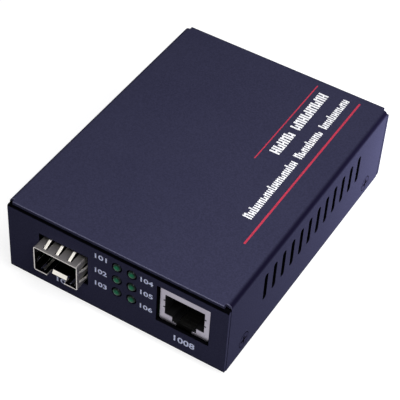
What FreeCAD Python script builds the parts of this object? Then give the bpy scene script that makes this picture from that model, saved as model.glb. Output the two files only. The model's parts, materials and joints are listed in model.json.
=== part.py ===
import FreeCAD, Part
import math
import os
from types import SimpleNamespace

import Sketcher

# Fibre media converter: a folded steel case with an SFP bay, an RJ45 jack and six status lights
# in front, a power inlet behind, and the circuit board that carries them.
#
# Frame: origin at the centre of the case's underside, +X to the right seen from the front,
# -Y towards the front panel, +Z up. All lengths are in millimetres.

Vector = FreeCAD.Vector
Rotation = FreeCAD.Rotation

doc = FreeCAD.newDocument("media_converter")
sheet = doc.addObject("Spreadsheet::Sheet", "sizes")

DRIVING_SIZES = {
    # case
    "body_width": 71.0,
    "body_depth": 94.0,
    "body_height": 27.0,
    "steel": 1.0,                # thickness of the case's sheet
    "bend_radius": 1.5,          # outside of every fold of the case
    "seam_gap": 0.3,             # cover's side edges to the end panels
    "side_gap": 0.15,            # cover's sides to the floor and its lugs
    "lid_gap": 0.15,             # cover's top to the end panels' return flanges
    "skirt_lift": 0.3,           # cover's lower edges above the floor's underside
    "return_depth": 8.0,         # return flanges, from the panels' inside
    "flange_relief": 0.6,        # flanges' ends inside the floor's edges
    "corner_relief": 1.7,        # cover's tongue to the case's side
    "tongue_setback": 0.2,       # cover's tongue behind the panel's face
    "panel_corner_radius": 0.9,
    # cover's screws and the lugs that take them
    "lug_width": 10.0,
    "lug_height": 9.0,
    "lug_place": 36.75,          # each way from the middle
    "cover_screw_level": 4.6,
    "cover_screw_radius": 1.5,
    "cover_screw_length": 4.5,
    "cover_screw_head_radius": 2.55,
    "thread_clearance": 0.05,
    "hole_clearance": 0.1,
    "recess_width": 0.5,         # arms of a cross recess
    "recess_depth": 0.6,
    # vents in both sides
    "vent_count": 12,
    "vent_pitch": 5.02,
    "vent_width": 1.95,
    "vent_length": 10.0,
    "vent_level": 17.0,
    "vent_offset": 0.9,          # middle of the row behind the case's middle
    # feet
    "foot_radius": 4.0,
    "foot_height": 1.6,
    "foot_inset": 7.0,
    # circuit board and its fixings
    "standoff_height": 6.2,
    "standoff_across_flats": 5.5,
    "standoff_shank_radius": 2.05,   # riveted into the floor
    "board_thickness": 1.6,
    "board_end_gap": 1.5,
    "board_side_gap": 1.35,
    "board_corner_radius": 1.5,
    "board_fixing_inset": 4.0,   # from the board's sides
    "board_fixing_to_jack": 6.7,
    "board_fixing_to_end": 11.5,
    "board_screw_radius": 1.45,
    "board_screw_length": 5.0,
    "board_screw_head_radius": 2.75,
    "board_screw_head_height": 1.8,
    # SFP cage
    "cage_from_side": 18.6,      # case's left side to the cage's middle
    "cage_width": 14.5,
    "cage_height": 9.1,
    "cage_length": 48.7,
    "cage_reach": 3.9,           # beyond the panel's face
    "cage_lift": 0.65,           # above the board, on its legs
    "cage_sheet": 0.3,
    "cage_fold_radius": 0.6,
    "cage_opening_side": 0.9,    # panel's opening round the cage
    "cage_opening_top": 1.35,
    "finger_width": 0.8,
    "finger_window": 1.5,
    "finger_start": 0.9,
    "finger_length": 7.0,
    "finger_slack": 0.15,        # finger's crest to the edge of the panel's opening
    "roof_fingers": 3,
    "finger_spacing": 4.05,
    "side_finger_spacing": 3.7,
    "floor_finger_place": 5.0,
    "tongue_gap_width": 5.8,
    "tongue_width": 4.8,
    "tongue_start": 1.7,
    "tongue_length": 8.5,
    "tongue_lip": 0.65,          # lead-in slope, along the cage
    "tongue_drop": 0.45,         # lip's front edge below the cage's floor
    "tongue_rise": 0.5,
    "cage_leg_width": 1.0,
    "cage_leg_count": 5,
    "cage_leg_start": 8.5,
    "cage_leg_end": 3.2,         # last leg to the cage's back
    # SFP socket inside the cage
    "socket_width": 12.6,
    "socket_height": 6.2,
    "socket_depth": 8.5,
    "socket_end_gap": 1.0,
    "socket_slot_width": 11.2,
    "socket_slot_height": 1.9,
    "socket_slot_level": 3.6,
    "socket_slot_depth": 6.5,
    "socket_contacts": 10,       # in each of two rows
    "socket_contact_pitch": 1.0,
    "socket_contact_width": 0.45,
    "socket_contact_thickness": 0.3,
    # RJ45 jack
    "jack_from_side": 13.7,      # case's right side to the jack's middle
    "jack_width": 15.5,
    "jack_height": 13.4,
    "jack_depth": 21.3,
    "jack_recess": 1.0,          # behind the panel's face
    "jack_sheet": 0.25,
    "jack_corner_radius": 0.7,
    "jack_opening_side": 0.6,    # panel's opening round the jack
    "jack_opening_low": 0.3,
    "jack_opening_top": 0.3,
    "jack_housing_gap": 0.05,
    "port_width": 12.4,
    "port_roof": 10.5,           # levels above the board
    "port_floor": 2.85,
    "port_step_width": 7.6,
    "port_step_floor": 1.0,
    "port_key_width": 5.0,
    "port_depth": 14.0,
    "port_contacts": 8,
    "port_contact_pitch": 1.02,
    "port_contact_width": 0.4,
    "port_contact_thickness": 0.3,
    # status lights
    "light_left": 0.75,
    "light_right": 5.5,
    "light_level": 11.85,
    "light_rows": 3,
    "light_pitch": 4.9,
    "light_radius": 1.5,
    "light_hole_clearance": 0.15,
    "light_proud": 0.7,
    "light_length": 8.0,
    "light_flange_radius": 1.75,
    "light_flange_length": 1.0,
    "light_holder_width": 4.4,
    "light_holder_depth": 6.0,
    "light_holder_gap": 0.4,
    "light_holder_headroom": 2.4,
    "lead_side": 0.5,
    "lead_spread": 1.27,
    "lead_first_run": 1.6,
    "lead_pitch": 1.8,
    # power inlet
    "inlet_from_side": 15.7,     # case's right side to the inlet's middle
    "inlet_width": 9.0,
    "inlet_height": 10.8,
    "inlet_depth": 14.0,
    "inlet_flange": 3.5,
    "inlet_step": 0.5,
    "inlet_axis": 6.4,
    "inlet_bore_radius": 3.15,
    "inlet_bore_depth": 10.0,
    "inlet_pin_radius": 1.05,
    "inlet_pin_length": 9.0,
    "inlet_gap": 0.3,
    "inlet_hole_radius": 3.9,
    "inlet_spring_width": 2.4,
    "inlet_spring_thickness": 0.3,
    "inlet_spring_slot": 1.0,
    # board components
    "chip_x": -2.0,
    "chip_y": 13.0,
    "chip_width": 14.0,
    "chip_height": 1.4,
    "chip_legs": 12,
    "chip_leg_pitch": 1.0,
    "sink_height": 7.0,
    "sink_base": 1.6,
    "sink_fins": 6,
    "sink_fin_thickness": 0.9,
    "magnetics_to_jack": 8.4,    # from the jack's back
    "magnetics_offset": 8.8,     # towards the middle, from the jack's middle
    "magnetics_length": 17.0,
    "magnetics_width": 9.6,
    "magnetics_height": 6.0,
    "magnetics_legs": 12,
    "magnetics_leg_pitch": 1.27,
    "memory_x": 17.0,
    "memory_y": 7.0,
    "memory_length": 4.9,
    "memory_width": 3.9,
    "memory_height": 1.5,
    "memory_legs": 4,
    "memory_leg_pitch": 1.27,
    "leg_reach": 1.1,
    "leg_width": 0.4,
    "leg_thickness": 0.3,
    "crystal_x": 17.0,
    "crystal_y": 18.0,
    "crystal_length": 11.0,
    "crystal_width": 4.6,
    "crystal_height": 3.5,
    "crystal_rim": 0.4,
    "capacitor_from_side": 12.0, # from the board's left side
    "capacitor_from_end": 11.5,
    "capacitor_pitch": 8.5,
    "capacitor_count": 3,
    "capacitor_radius": 3.15,
    "capacitor_height": 7.7,
    "capacitor_base": 1.2,
    "capacitor_groove": 0.35,
    "inductor_x": 7.0,
    "inductor_from_end": 11.0,
    "inductor_width": 7.3,
    "inductor_height": 4.2,
    "inductor_corner": 1.6,
    "regulator_from_side": 11.0, # from the board's left side
    "regulator_y": 15.0,
    "regulator_width": 6.5,
    "regulator_length": 6.1,
    "regulator_height": 2.3,
    "regulator_legs": 3,
    "regulator_tab": 1.1,
    "regulator_tab_thickness": 0.5,
}

for row, (alias, value) in enumerate(DRIVING_SIZES.items(), start=1):
    sheet.set(f"A{row}", alias)
    sheet.set(f"B{row}", str(value))
    sheet.setAlias(f"B{row}", alias)
doc.recompute()


class Size:
    """A length together with the sheet formula that gives it."""

    def __init__(self, value, formula):
        self.value = value
        self.formula = formula

    def __add__(self, other):
        other = as_size(other)
        return Size(self.value + other.value, f"({self.formula} + {other.formula})")

    def __sub__(self, other):
        other = as_size(other)
        return Size(self.value - other.value, f"({self.formula} - {other.formula})")

    def __mul__(self, other):
        other = as_size(other)
        return Size(self.value * other.value, f"({self.formula} * {other.formula})")

    def __truediv__(self, other):
        other = as_size(other)
        return Size(self.value / other.value, f"({self.formula} / {other.formula})")

    def __neg__(self):
        return Size(-self.value, f"(-1 * {self.formula})")

    __radd__ = __add__
    __rmul__ = __mul__


def as_size(item):
    """Plain numbers may stand where a size is asked for."""
    return item if isinstance(item, Size) else Size(float(item), f"({float(item)})")


s = SimpleNamespace(**{name: Size(value, f"sizes.{name}") for name, value in DRIVING_SIZES.items()})
ZERO = as_size(0)
CLEAR = as_size(2)               # how far a cutter stands out of what it cuts


def bind(thing, **properties):
    """Ties properties of a document object to sizes on the sheet."""
    for name, size in properties.items():
        thing.setExpression(name, as_size(size).formula)


def place(thing, x=ZERO, y=ZERO, z=ZERO, turn=None):
    """Gives a sub-part its place, measured from the middle of the case's underside.

    The assembly's origin is level with the feet and midway along the whole part, cage included.
    """
    thing.Placement = FreeCAD.Placement(Vector(), turn or Rotation())
    for axis, size in zip("xyz", (x, y + s.cage_reach / 2, z + s.foot_height)):
        thing.setExpression(f"Placement.Base.{axis}", as_size(size).formula)
    return thing


# ---------------------------------------------------------------- sketches

def hold(sketch, kind, geometry, point, size):
    """Dimensions one coordinate of a sketch point from the sketch's origin."""
    constraint = Sketcher.Constraint(kind, -1, 1, geometry, point, size.value)
    index = sketch.addConstraint(constraint)
    sketch.setExpression(f"Constraints[{index}]", size.formula)


def hold_radius(sketch, geometry, size):
    index = sketch.addConstraint(Sketcher.Constraint("Radius", geometry, size.value))
    sketch.setExpression(f"Constraints[{index}]", size.formula)


def outline(*corners):
    """A closed outline of straight lines through the given corners."""
    corners = [(as_size(x), as_size(y)) for x, y in corners]

    def draw(sketch):
        first = sketch.GeometryCount
        points = [Vector(x.value, y.value, 0) for x, y in corners]
        sketch.addGeometry([Part.LineSegment(a, b) for a, b in zip(points, points[1:] + points[:1])])
        for step, (x, y) in enumerate(corners):
            line = first + step
            before = first + (step - 1) % len(corners)
            sketch.addConstraint(Sketcher.Constraint("Coincident", before, 2, line, 1))
            hold(sketch, "DistanceX", line, 1, x)
            hold(sketch, "DistanceY", line, 1, y)
    return draw


def rectangle(x_low, x_high, y_low, y_high):
    return outline((x_low, y_low), (x_high, y_low), (x_high, y_high), (x_low, y_high))


def circle(x, y, radius):
    x, y, radius = as_size(x), as_size(y), as_size(radius)

    def draw(sketch):
        ring = Part.Circle(Vector(x.value, y.value, 0), Vector(0, 0, 1), radius.value)
        index = sketch.addGeometry(ring)
        hold(sketch, "DistanceX", index, 3, x)
        hold(sketch, "DistanceY", index, 3, y)
        hold_radius(sketch, index, radius)
    return draw


def slot(x, y, width, length):
    """An upright slot with round ends, about its middle."""
    x, y = as_size(x), as_size(y)
    half, straight_half = width / 2, (length - width) / 2
    top, low = y + straight_half, y - straight_half

    def draw(sketch):
        first = sketch.GeometryCount
        radius, up = half.value, Vector(0, 0, 1)
        right, left = x.value + radius, x.value - radius
        centres = [(first + 1, top), (first + 3, low)]
        high_cap, low_cap = (Part.Circle(Vector(x.value, level.value, 0), up, radius)
                             for _, level in centres)
        sketch.addGeometry([
            Part.LineSegment(Vector(right, low.value, 0), Vector(right, top.value, 0)),
            Part.ArcOfCircle(high_cap, 0, math.pi),
            Part.LineSegment(Vector(left, top.value, 0), Vector(left, low.value, 0)),
            Part.ArcOfCircle(low_cap, math.pi, 2 * math.pi),
        ])
        for step in range(4):
            following = first + (step + 1) % 4
            sketch.addConstraint(Sketcher.Constraint("Tangent", first + step, 2, following, 1))
        for arc, level in centres:
            hold(sketch, "DistanceX", arc, 3, x)
            hold(sketch, "DistanceY", arc, 3, level)
            hold_radius(sketch, arc, half)
    return draw


# ---------------------------------------------------------------- features of a body

def new_body(label):
    body = doc.addObject("PartDesign::Body", label)
    body.Label = label
    return body


def origin_feature(body, role):
    return next(item for item in body.Origin.OriginFeatures if item.Role == role)


def sketch_on(body, name, plane, at, shapes):
    """A sketch parallel to an origin plane, at a place along the axis that the plane faces."""
    sketch = body.newObject("Sketcher::SketchObject", name + "_sketch")
    sketch.AttachmentSupport = [(origin_feature(body, plane + "_Plane"), "")]
    sketch.MapMode = "FlatFace"
    offset = -as_size(at) if plane == "XZ" else as_size(at)     # the XZ plane faces -Y
    sketch.setExpression("AttachmentOffset.Base.z", offset.formula)
    for draw in shapes:
        draw(sketch)
    return sketch


def pad(body, name, plane, low, high, *shapes):
    """Adds outlines to a body, from one level to another along the plane's axis."""
    low, high = as_size(low), as_size(high)
    sketch = sketch_on(body, name, plane, high if plane == "XZ" else low, shapes)
    feature = body.newObject("PartDesign::Pad", name)
    feature.Profile = sketch
    bind(feature, Length=high - low)
    return feature


def pocket(body, name, plane, low, high, *shapes):
    """Cuts outlines out of a body, from one level to another along the plane's axis."""
    doc.recompute()
    before = body.Shape.Volume
    low, high = as_size(low), as_size(high)
    sketch = sketch_on(body, name, plane, low if plane == "XZ" else high, shapes)
    feature = body.newObject("PartDesign::Pocket", name)
    feature.Profile = sketch
    bind(feature, Length=high - low)
    doc.recompute()
    if not body.Shape.Volume < before - 1e-6:
        raise RuntimeError(f"{body.Label}: {name} cuts nothing")
    return feature


def revolve(body, name, plane, axis, *shapes):
    """Turns an outline a full turn about one of the sketch's own axes."""
    sketch = sketch_on(body, name, plane, ZERO, shapes)
    feature = body.newObject("PartDesign::Revolution", name)
    feature.Profile = sketch
    feature.ReferenceAxis = (sketch, [axis])
    feature.Angle = 360
    return feature


def row_of(body, name, feature, axis, pitch, count):
    """Repeats a feature in a row along an origin axis."""
    pattern = body.newObject("PartDesign::LinearPattern", name)
    pattern.Originals = [feature]
    pattern.Direction = (origin_feature(body, axis + "_Axis"), [""])
    bind(pattern, Length=pitch * (count - 1), Occurrences=count)
    body.Tip = pattern
    return pattern


def same(value, size):
    return abs(value - as_size(size).value) < 1e-4


def straight(direction, **at):
    """Picks straight edges along x, y or z whose middle has the coordinates given."""
    def picks(edge):
        if edge.Curve.TypeId != "Part::GeomLine":
            return False
        if abs(getattr(edge.tangentAt(edge.FirstParameter), direction)) < 0.999:
            return False
        middle = edge.CenterOfMass
        return all(same(abs(getattr(middle, axis)), as_size(size)) for axis, size in at.items())
    return picks


def round_edge(radius, **at):
    """Picks circles of a radius whose centre has the coordinates given, on either side."""
    def picks(edge):
        if edge.Curve.TypeId != "Part::GeomCircle" or not same(edge.Curve.Radius, radius):
            return False
        centre = edge.Curve.Center
        return all(same(abs(getattr(centre, axis)), as_size(size)) for axis, size in at.items())
    return picks


def dress(body, kind, name, size, *picks):
    """Puts a Fillet or Chamfer on every edge that one of the picks takes."""
    doc.recompute()
    base = body.Tip
    edges = [f"Edge{number}" for number, edge in enumerate(base.Shape.Edges, start=1)
             if any(pick(edge) for pick in picks)]
    if not edges:
        raise RuntimeError(f"{body.Label}: no edge for {name}")
    feature = body.newObject(f"PartDesign::{kind}", name)
    feature.Base = (base, edges)
    bind(feature, **{"Radius" if kind == "Fillet" else "Size": size})
    return feature


# ---------------------------------------------------------------- groups of like pieces

def linked(name, source, x, y, z, turn):
    """A placed copy of a piece."""
    copy = doc.addObject("App::Link", name)
    copy.LinkedObject = source
    copy.LinkPlacement = FreeCAD.Placement(Vector(), turn)
    for axis, size in zip("xyz", (x, y, z)):
        copy.setExpression(f"LinkPlacement.Base.{axis}", as_size(size).formula)
    return copy


def group(label, copies):
    """Copies as (source, x, y, z, turn), each a separate solid, kept together as one sub-part."""
    together = doc.addObject("Part::Compound", label)
    together.Label = label
    together.Links = [linked(f"{label}_{number}", *copy) for number, copy in enumerate(copies, start=1)]
    return place(together)


UPRIGHT = Rotation()
POINTS_RIGHT = Rotation(Vector(0, 1, 0), 90)       # local +Z becomes +X
POINTS_LEFT = Rotation(Vector(0, 1, 0), -90)       # local +Z becomes -X

# ---------------------------------------------------------------- places shared by several pieces

half_width = s.body_width / 2
half_depth = s.body_depth / 2
panel_inside = half_depth - s.steel                 # inner face of each end panel
lid_inside = s.body_height - s.steel
flange_top = lid_inside - s.lid_gap
cover_inside = half_width - s.steel                 # inner face of the cover's sides
floor_half = cover_inside - s.side_gap
board_low = s.steel + s.standoff_height
board_top = board_low + s.board_thickness
board_half = floor_half - s.steel - s.board_side_gap
board_end = panel_inside - s.board_end_gap
cage_place = s.cage_from_side - half_width
cage_floor = board_top + s.cage_lift
cage_roof = cage_floor + s.cage_height
cage_front = half_depth + s.cage_reach              # in front of the middle
jack_place = half_width - s.jack_from_side
jack_face = half_depth - s.jack_recess              # in front of the middle
jack_back = s.jack_depth - jack_face
inlet_place = half_width - s.inlet_from_side
inlet_level = board_top + s.inlet_axis
light_columns = (s.light_left, s.light_right)
LIGHT_ROWS = range(DRIVING_SIZES["light_rows"])


def light_height(row):
    return s.light_level + s.light_pitch * row


def corner(x, y, radius, toward_x, toward_y):
    """What a rounded corner leaves over; toward_x and toward_y are its signs in the sketch."""
    x, y, radius = as_size(x), as_size(y), as_size(radius)
    inside_x, inside_y = x - radius * toward_x, y - radius * toward_y

    def draw(sketch):
        first = sketch.GeometryCount
        tip = Vector(x.value, y.value, 0)
        level, plumb = Vector(inside_x.value, y.value, 0), Vector(x.value, inside_y.value, 0)
        centre = Vector(inside_x.value, inside_y.value, 0)
        ring = Part.Circle(centre, Vector(0, 0, 1), radius.value)
        quarter = math.pi / 2
        start = {(1, 1): 0, (-1, 1): 1, (-1, -1): 2, (1, -1): 3}[(toward_x, toward_y)] * quarter
        sketch.addGeometry([
            Part.LineSegment(level, tip),
            Part.LineSegment(tip, plumb),
            Part.ArcOfCircle(ring, start, start + quarter),
        ])
        ends = {0: (inside_x, y), 1: (x, y)}
        for line, (across, up) in ends.items():
            hold(sketch, "DistanceX", first + line, 1, across)
            hold(sketch, "DistanceY", first + line, 1, up)
        hold(sketch, "DistanceX", first + 1, 2, x)
        hold(sketch, "DistanceY", first + 1, 2, inside_y)
        sketch.addConstraint(Sketcher.Constraint("Coincident", first, 2, first + 1, 1))
        arc_at_plumb = 1 if toward_x == toward_y else 2
        sketch.addConstraint(Sketcher.Constraint("Coincident", first + 2, arc_at_plumb, first + 1, 2))
        sketch.addConstraint(Sketcher.Constraint("Coincident", first + 2, 3 - arc_at_plumb, first, 1))
        hold_radius(sketch, first + 2, radius)
    return draw


def cross(reach, width):
    """The outline of a cross recess."""
    a, b = reach, width / 2
    return outline((a, -b), (a, b), (b, b), (b, a), (-b, a), (-b, b),
                   (-a, b), (-a, -b), (-b, -b), (-b, -a), (b, -a), (b, -b))


# ---------------------------------------------------------------- case

def make_chassis():
    """Floor and both end panels, folded from one sheet, with return flanges and screw lugs."""
    body = new_body("chassis_base")
    flange_end = panel_inside - s.return_depth
    flange_low = flange_top - s.steel
    pad(body, "folded_sheet", "YZ", -half_width, half_width, outline(
        (-half_depth, ZERO), (half_depth, ZERO), (half_depth, flange_top), (flange_end, flange_top),
        (flange_end, flange_low), (panel_inside, flange_low), (panel_inside, s.steel),
        (-panel_inside, s.steel), (-panel_inside, flange_low), (-flange_end, flange_low),
        (-flange_end, flange_top), (-half_depth, flange_top)))
    inner_bend = s.bend_radius - s.steel
    dress(body, "Fillet", "outer_bends", s.bend_radius,
          straight("x", y=half_depth, z=ZERO), straight("x", y=half_depth, z=flange_top))
    dress(body, "Fillet", "inner_bends", inner_bend,
          straight("x", y=panel_inside, z=s.steel), straight("x", y=panel_inside, z=flange_low))

    beyond = half_width + CLEAR
    pocket(body, "room_for_cover_sides", "XY", -CLEAR, s.body_height,
           rectangle(floor_half, beyond, -panel_inside, panel_inside),
           rectangle(-beyond, -floor_half, -panel_inside, panel_inside))
    flange_side = floor_half - s.flange_relief
    pocket(body, "flange_ends", "XY", s.lug_height, s.body_height,
           rectangle(flange_side, beyond, -panel_inside, panel_inside),
           rectangle(-beyond, -flange_side, -panel_inside, panel_inside))
    pocket(body, "panel_corners", "XZ", -half_depth - CLEAR, half_depth + CLEAR,
           corner(half_width, flange_top, s.panel_corner_radius, 1, 1),
           corner(-half_width, flange_top, s.panel_corner_radius, -1, 1),
           corner(half_width, ZERO, s.panel_corner_radius, 1, -1),
           corner(-half_width, ZERO, s.panel_corner_radius, -1, -1))

    lug_inside = floor_half - s.steel
    lug_front, lug_back = s.lug_place + s.lug_width / 2, s.lug_place - s.lug_width / 2
    pad(body, "lugs", "XY", ZERO, s.lug_height,
        *(rectangle(*across, *along)
          for across in ((lug_inside, floor_half), (-floor_half, -lug_inside))
          for along in ((lug_back, lug_front), (-lug_front, -lug_back))))
    dress(body, "Fillet", "lug_corners", s.bend_radius,
          straight("x", y=lug_front, z=s.lug_height), straight("x", y=lug_back, z=s.lug_height))
    dress(body, "Fillet", "lug_bends", inner_bend, straight("y", x=lug_inside, z=s.steel))
    pocket(body, "lug_threads", "YZ", -floor_half - CLEAR, floor_half + CLEAR,
           *(circle(sign * s.lug_place, s.cover_screw_level, s.cover_screw_radius + s.thread_clearance)
             for sign in (1, -1)))

    port = (jack_place - s.jack_width / 2 - s.jack_opening_side,
            jack_place + s.jack_width / 2 + s.jack_opening_side,
            board_top - s.jack_opening_low,
            board_top + s.jack_height + s.jack_opening_top)
    bay = (cage_place - s.cage_width / 2 - s.cage_opening_side,
           cage_place + s.cage_width / 2 + s.cage_opening_side,
           cage_floor - s.cage_opening_side,
           cage_roof + s.cage_opening_top)
    light_hole = s.light_radius + s.light_hole_clearance
    lights = [circle(x, light_height(row), light_hole) for x in light_columns for row in LIGHT_ROWS]
    pocket(body, "front_openings", "XZ", -half_depth - CLEAR, -panel_inside + inner_bend,
           rectangle(*port), rectangle(*bay), *lights)
    pocket(body, "inlet_hole", "XZ", panel_inside - inner_bend, half_depth + CLEAR,
           circle(inlet_place, inlet_level, s.inlet_hole_radius))
    pocket(body, "standoff_holes", "XY", -CLEAR, s.steel + CLEAR,
           *(circle(x, y, s.standoff_shank_radius + s.thread_clearance) for x, y in board_fixings()))
    return place(body)


def board_fixings():
    across = board_half - s.board_fixing_inset
    return [(side * across, along) for side in (1, -1)
            for along in (board_end - s.board_fixing_to_end, jack_back + s.board_fixing_to_jack)]


def make_cover():
    """Top and both sides, folded from one sheet, with tongues over the end panels."""
    body = new_body("top_cover")
    side_end = panel_inside - s.seam_gap
    pad(body, "folded_sheet", "XZ", -side_end, side_end, outline(
        (-half_width, s.skirt_lift), (-cover_inside, s.skirt_lift), (-cover_inside, lid_inside),
        (cover_inside, lid_inside), (cover_inside, s.skirt_lift), (half_width, s.skirt_lift),
        (half_width, s.body_height), (-half_width, s.body_height)))
    dress(body, "Fillet", "outer_bends", s.bend_radius, straight("y", x=half_width, z=s.body_height))
    dress(body, "Fillet", "inner_bends", s.bend_radius - s.steel,
          straight("y", x=cover_inside, z=lid_inside))
    tongue_side = half_width - s.corner_relief
    tongue_end = half_depth - s.tongue_setback
    pad(body, "tongues", "XY", lid_inside, s.body_height,
        rectangle(-tongue_side, tongue_side, -tongue_end, tongue_end))

    first_vent = s.vent_offset - s.vent_pitch * (s.vent_count - 1) / 2
    vent = pocket(body, "vent", "YZ", -half_width - CLEAR, half_width + CLEAR,
                  slot(first_vent, s.vent_level, s.vent_width, s.vent_length))
    row_of(body, "vents", vent, "Y", s.vent_pitch, s.vent_count)

    hole = s.cover_screw_radius + s.hole_clearance
    pocket(body, "screw_holes", "YZ", -half_width - CLEAR, half_width + CLEAR,
           *(circle(sign * s.lug_place, s.cover_screw_level, hole) for sign in (1, -1)))
    dress(body, "Chamfer", "countersinks", s.cover_screw_head_radius - hole,
          round_edge(hole, x=half_width, y=s.lug_place))
    return place(body)


def make_cover_screws():
    """Four countersunk screws, two in each side."""
    screw = new_body("cover_screw")
    head = s.cover_screw_head_radius - s.thread_clearance
    shank = s.cover_screw_radius
    revolve(screw, "turned", "XZ", "V_Axis", outline(
        (ZERO, ZERO), (ZERO, -s.cover_screw_length), (shank, -s.cover_screw_length),
        (shank, shank - head), (head, ZERO)))
    pocket(screw, "cross_recess", "XY", -s.recess_depth, CLEAR, cross(head * 0.6, s.recess_width))
    return group("cover_screws", [
        (screw, side * half_width, end * s.lug_place, s.cover_screw_level, turn)
        for side, turn in ((1, POINTS_RIGHT), (-1, POINTS_LEFT)) for end in (1, -1)])


def make_feet():
    """Four round rubber feet under the corners."""
    foot = new_body("rubber_foot")
    pad(foot, "disc", "XY", -s.foot_height, ZERO, circle(ZERO, ZERO, s.foot_radius))
    dress(foot, "Chamfer", "rim", s.foot_height / 3, round_edge(s.foot_radius, z=s.foot_height))
    across, along = half_width - s.foot_inset, half_depth - s.foot_inset
    return group("rubber_feet", [
        (foot, side * across, end * along, ZERO, UPRIGHT) for side in (1, -1) for end in (1, -1)])


# ---------------------------------------------------------------- board and its fixings

def make_standoffs():
    """Four hexagonal standoffs riveted into the floor."""
    standoff = new_body("board_standoff")
    radius = s.standoff_across_flats / math.sqrt(3)
    pad(standoff, "hexagon", "XY", ZERO, s.standoff_height, outline(*(
        (radius * math.cos(step * math.pi / 3), radius * math.sin(step * math.pi / 3))
        for step in range(6))))
    pad(standoff, "shank", "XY", -s.steel, ZERO, circle(ZERO, ZERO, s.standoff_shank_radius))
    pocket(standoff, "thread", "XY", -s.steel - CLEAR, s.standoff_height + CLEAR,
           circle(ZERO, ZERO, s.board_screw_radius + s.thread_clearance))
    return group("board_standoffs", [(standoff, x, y, s.steel, UPRIGHT) for x, y in board_fixings()])


def make_board_screws():
    """Four pan head screws that hold the board to its standoffs."""
    screw = new_body("board_screw")
    head, shank = s.board_screw_head_radius, s.board_screw_radius
    top = s.board_screw_head_height
    revolve(screw, "turned", "XZ", "V_Axis", outline(
        (ZERO, -s.board_screw_length), (shank, -s.board_screw_length), (shank, ZERO), (head, ZERO),
        (head, top * 0.6), (head * 0.7, top), (ZERO, top)))
    pocket(screw, "cross_recess", "XY", top - s.recess_depth, top + CLEAR,
           cross(head * 0.5, s.recess_width))
    return group("board_screws", [(screw, x, y, board_top, UPRIGHT) for x, y in board_fixings()])


def make_board():
    body = new_body("circuit_board")
    pad(body, "laminate", "XY", board_low, board_top,
        rectangle(-board_half, board_half, -board_end, board_end))
    dress(body, "Fillet", "corners", s.board_corner_radius, straight("z", x=board_half, y=board_end))
    pocket(body, "fixing_holes", "XY", board_low - CLEAR, board_top + CLEAR,
           *(circle(x, y, s.board_screw_radius + s.hole_clearance) for x, y in board_fixings()))
    return place(body)


# ---------------------------------------------------------------- SFP bay

def finger_profile(surface, rise, outward, swap=False):
    """One spring finger in section: from the front band, over the panel's edge, to a free tip."""
    crest_start = s.cage_reach - s.seam_gap
    crest_end = s.cage_reach + s.steel + s.seam_gap
    tip = s.finger_start + s.finger_length * 0.9
    route = [(s.finger_start * 0.5, ZERO), (s.finger_start, ZERO), (crest_start, rise),
             (crest_end, rise), (tip, rise * 0.3)]
    skin = [(y, surface + up * outward) for y, up in route]
    back = [(y, level - s.cage_sheet * outward) for y, level in reversed(skin)]
    points = skin + back
    return outline(*((level, y) for y, level in points)) if swap else outline(*points)


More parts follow.
